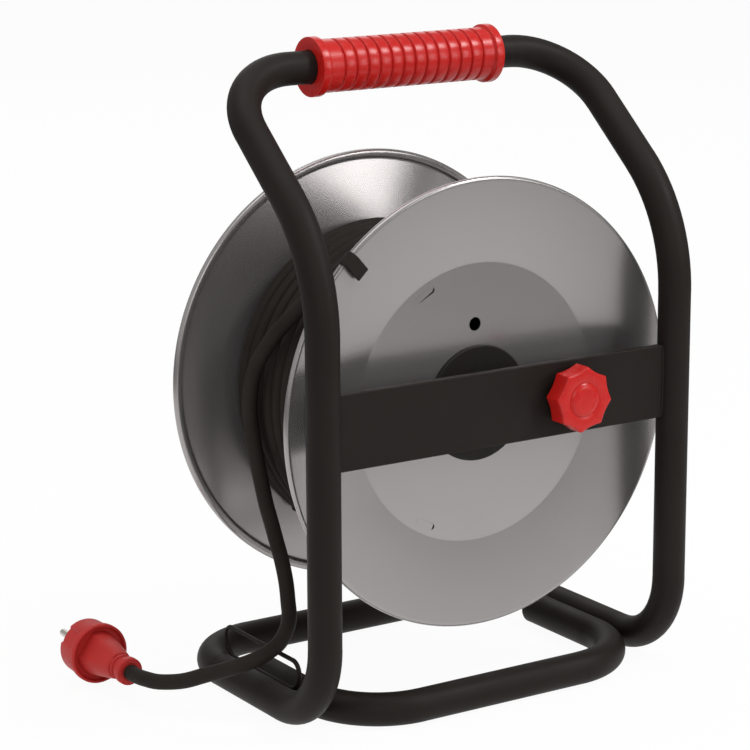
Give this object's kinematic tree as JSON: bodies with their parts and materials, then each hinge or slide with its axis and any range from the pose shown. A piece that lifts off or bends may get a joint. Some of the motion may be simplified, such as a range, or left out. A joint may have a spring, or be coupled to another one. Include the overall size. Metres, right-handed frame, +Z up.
{
  "type": "extension cord reel",
  "caption": "Steel cord drum on a bent-tube stand with a carrying grip, a screw brake, lidded sockets, a winding knob, a wire cord guide and a plug on its cord.",
  "frame": {"origin": "on the floor, midway between the two uprights, and midway along the axle between the brake knob's cap and the winding knob's end", "axes": "+X to the right along the crossbar as seen from the brake side, +Y along the axle from the brake side to the socket side, +Z up"},
  "size_m": [0.363, 0.235, 0.419],
  "materials": {
    "frame_black": "satin powder coat",
    "drum_steel": "satin zinc-plated sheet",
    "zinc_steel": "bright zinc",
    "red_plastic": "semi-gloss moulded",
    "black_plastic": "fine-textured moulded",
    "white_plastic": "plain moulded",
    "black_rubber": "matt",
    "red_rubber": "matt",
    "brass": "plain",
    "nickel_brass": "nickel-plated"
  },
  "bodies": {
    "frame": {"frame_tube": "frame_black", "base_tube": "frame_black", "tube_plugs": "black_plastic", "cord_guide": "frame_black", "crossbar": "frame_black", "handle_grip": "red_plastic", "axle": "zinc_steel", "axle_washer": "zinc_steel", "axle_nut": "zinc_steel", "brake_nut": "frame_black", "free_cord": "black_rubber", "plug_body": "red_rubber", "plug_relief": "red_rubber", "plug_pins": "nickel_brass", "plug_earths": "nickel_brass"},
    "brake_pad": {"pad_holder": "black_plastic", "brake_pad": "black_rubber"},
    "brake_knob": {"brake_knob": "red_plastic", "knob_cap": "red_plastic", "brake_spindle": "zinc_steel"},
    "drum": {"near_flange": "drum_steel", "far_flange": "drum_steel", "barrel": "drum_steel", "near_hub": "black_plastic", "hub_ring": "zinc_steel", "far_hub": "black_plastic", "rim_clip": "black_rubber", "cord_bed": "black_rubber", "wound_cord": "black_rubber", "cord_gland": "black_rubber", "inner_lead": "black_rubber", "terminal_block": "white_plastic", "socket_panel": "red_plastic", "panel_screws": "zinc_steel", "socket_inserts": "black_plastic", "pin_contacts": "brass", "earth_clips": "brass", "hinge_pins": "zinc_steel", "lid_springs": "zinc_steel", "centre_cap": "red_plastic", "cutout_body": "black_plastic", "cutout_nut": "black_plastic", "reset_spring": "zinc_steel", "winder_pin": "zinc_steel"},
    "lid_1": {"lid_1": "black_plastic"},
    "lid_2": {"lid_2": "black_plastic"},
    "lid_3": {"lid_3": "black_plastic"},
    "lid_4": {"lid_4": "black_plastic"},
    "reset_button": {"reset_button": "red_plastic"},
    "winder_knob": {"winder_knob": "black_plastic"}
  },
  "joints": [
    {"name": "drum_turn", "type": "hinge", "parent": "frame", "child": "drum", "pos_m": [0, 0, 0.1915], "axis": [0, 1, 0], "continuous": true},
    {"name": "brake_slide", "type": "slide", "parent": "frame", "child": "brake_pad", "axis": [0, 1, 0], "range_m": [0, 0.00187]},
    {"name": "brake_turn", "type": "hinge", "parent": "brake_pad", "child": "brake_knob", "pos_m": [0.048, -0.104, 0.1965], "axis": [0, 1, 0], "range_deg": [0, 540]},
    {"name": "lid_1_hinge", "type": "hinge", "parent": "drum", "child": "lid_1", "pos_m": [0.05268, 0.0748, 0.24418], "axis": [0.7071, 0, -0.7071], "range_deg": [0, 110], "stiffness_Nm_per_rad": 0.008, "springref_deg": -34.38},
    {"name": "lid_2_hinge", "type": "hinge", "parent": "drum", "child": "lid_2", "pos_m": [-0.05268, 0.0748, 0.24418], "axis": [0.7071, 0, 0.7071], "range_deg": [0, 110], "stiffness_Nm_per_rad": 0.008, "springref_deg": -34.38},
    {"name": "lid_3_hinge", "type": "hinge", "parent": "drum", "child": "lid_3", "pos_m": [-0.05268, 0.0748, 0.13882], "axis": [-0.7071, 0, 0.7071], "range_deg": [0, 110], "stiffness_Nm_per_rad": 0.008, "springref_deg": -34.38},
    {"name": "lid_4_hinge", "type": "hinge", "parent": "drum", "child": "lid_4", "pos_m": [0.05268, 0.0748, 0.13882], "axis": [-0.7071, 0, -0.7071], "range_deg": [0, 110], "stiffness_Nm_per_rad": 0.008, "springref_deg": -34.38},
    {"name": "reset_press", "type": "slide", "parent": "drum", "child": "reset_button", "axis": [0, -1, 0], "range_m": [0, 0.002], "stiffness_N_per_m": 300, "springref_m": -0.002},
    {"name": "winder_spin", "type": "hinge", "parent": "drum", "child": "winder_knob", "pos_m": [0.09959, 0.0854, 0.134], "axis": [0, 1, 0], "continuous": true}
  ],
  "couplings": [
    {"joint": "brake_turn", "follows": "brake_slide", "rad_per_m": 5026.5}
  ]
}
